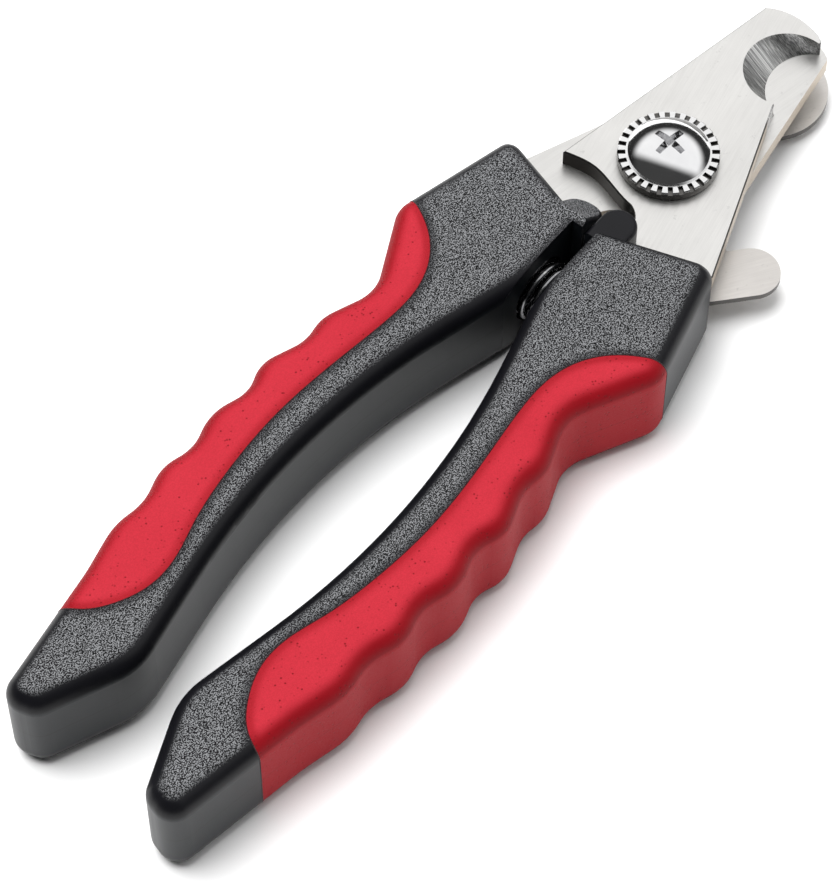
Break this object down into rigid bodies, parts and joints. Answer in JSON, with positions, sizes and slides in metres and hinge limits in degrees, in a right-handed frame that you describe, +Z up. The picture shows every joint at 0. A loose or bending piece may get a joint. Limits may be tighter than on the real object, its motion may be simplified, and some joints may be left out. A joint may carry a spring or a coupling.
{
  "type": "scissor nail clipper",
  "caption": "Pet nail clipper with curved notched scissor blades, swivelling nail guard, sprung two-tone handles and a thumb lock.",
  "frame": {"origin": "centre of the bounding box on the surface that the tool lies on", "axes": "+X along the tool towards the jaws, +Y towards the left handle, +Z up from the surface it lies on"},
  "size_m": [0.1622, 0.0466, 0.017],
  "materials": {
    "handle_plastic": "fine grained satin",
    "grip_rubber": "soft matt overmould",
    "blade_steel": "satin, bevel ground",
    "guard_steel": "satin",
    "washer_steel": "bright",
    "screw_chrome": "polished",
    "pin_steel": "turned",
    "lock_plastic": "satin",
    "spring_black": "black, semi-gloss"
  },
  "bodies": {
    "left_side": {"left_upper_shell": "handle_plastic", "left_lower_shell": "handle_plastic", "left_grip": "grip_rubber", "left_tang_pins": "pin_steel", "lower_blade": "blade_steel", "return_spring": "spring_black"},
    "right_side": {"right_upper_shell": "handle_plastic", "right_lower_shell": "handle_plastic", "right_grip": "grip_rubber", "right_tang_pins": "pin_steel", "upper_blade": "blade_steel", "serrated_washer": "washer_steel", "pivot_screw": "screw_chrome", "pivot_sleeve": "pin_steel", "guard_spring_washer": "washer_steel", "pivot_nut": "washer_steel", "lock_lug": "pin_steel"},
    "guard": {"guard_plate": "guard_steel"},
    "lock": {"lock_slide": "lock_plastic"}
  },
  "joints": [
    {"name": "jaw_pivot", "type": "hinge", "parent": "left_side", "child": "right_side", "pos_m": [0.0467, 0, 0.0085], "axis": [0, 0, 1], "range_deg": [0, 27], "deforming": ["return_spring"]},
    {"name": "guard_swivel", "type": "hinge", "parent": "right_side", "child": "guard", "pos_m": [0.0467, 0, 0.005], "axis": [0, 0, 1], "range_deg": [0, 50]},
    {"name": "lock_travel", "type": "slide", "parent": "left_side", "child": "lock", "axis": [1, 0, 0], "range_m": [0, 0.0024]}
  ]
}
